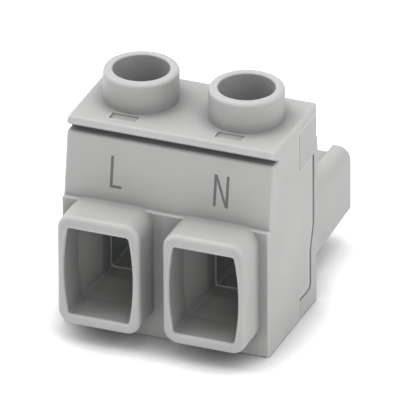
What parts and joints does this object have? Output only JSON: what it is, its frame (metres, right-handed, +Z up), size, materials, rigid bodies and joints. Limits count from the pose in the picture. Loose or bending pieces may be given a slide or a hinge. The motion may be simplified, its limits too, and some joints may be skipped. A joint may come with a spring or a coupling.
{
  "type": "pluggable screw terminal connector for a circuit board",
  "caption": "Plug for a circuit board header: boxed wire entries below a marking face, round screw collars on top and flat plug fingers behind; rising cage clamps inside.",
  "frame": {"origin": "centre of the flat base, midway between the poles", "axes": "+X across the poles, +Y from the wire side to the plug fingers, +Z up along the clamp screws"},
  "size_m": [0.02, 0.0275, 0.0231],
  "materials": {
    "housing_plastic": "light grey glass-filled polyamide, fine moulded grain",
    "carrier_plastic": "light grey glass-filled polyamide, fine moulded grain",
    "zinc_plated_steel": "bright zinc plate over a rolled thread",
    "nickel_plated_steel": "nickel plate over folded steel strip",
    "tinned_copper": "tin plate over bent copper strip",
    "spring_steel": "bare stainless spring strip"
  },
  "bodies": {
    "housing": {"terminal_housing": "housing_plastic", "contact_carrier": "carrier_plastic", "current_bar_left": "tinned_copper", "contact_socket_left": "tinned_copper", "contact_spring_left": "spring_steel", "current_bar_right": "tinned_copper", "contact_socket_right": "tinned_copper", "contact_spring_right": "spring_steel"},
    "clamp_screw_left": {"clamp_screw_left": "zinc_plated_steel"},
    "clamp_cage_left": {"clamp_cage_left": "nickel_plated_steel"},
    "clamp_screw_right": {"clamp_screw_right": "zinc_plated_steel"},
    "clamp_cage_right": {"clamp_cage_right": "nickel_plated_steel"}
  },
  "joints": [
    {"name": "screw_turn_left", "type": "hinge", "parent": "housing", "child": "clamp_screw_left", "pos_m": [-0.00508, 0.00125, 0.0176], "axis": [0, 0, -1], "range_deg": [0, 2340]},
    {"name": "cage_rise_left", "type": "slide", "parent": "housing", "child": "clamp_cage_left", "axis": [0, 0, 1], "range_m": [0, 0.00455]},
    {"name": "screw_turn_right", "type": "hinge", "parent": "housing", "child": "clamp_screw_right", "pos_m": [0.00508, 0.00125, 0.0176], "axis": [0, 0, -1], "range_deg": [0, 2340]},
    {"name": "cage_rise_right", "type": "slide", "parent": "housing", "child": "clamp_cage_right", "axis": [0, 0, 1], "range_m": [0, 0.00455]}
  ],
  "couplings": [
    {"joint": "screw_turn_left", "follows": "cage_rise_left", "rad_per_m": 8975.9},
    {"joint": "screw_turn_right", "follows": "cage_rise_right", "rad_per_m": 8975.9}
  ]
}
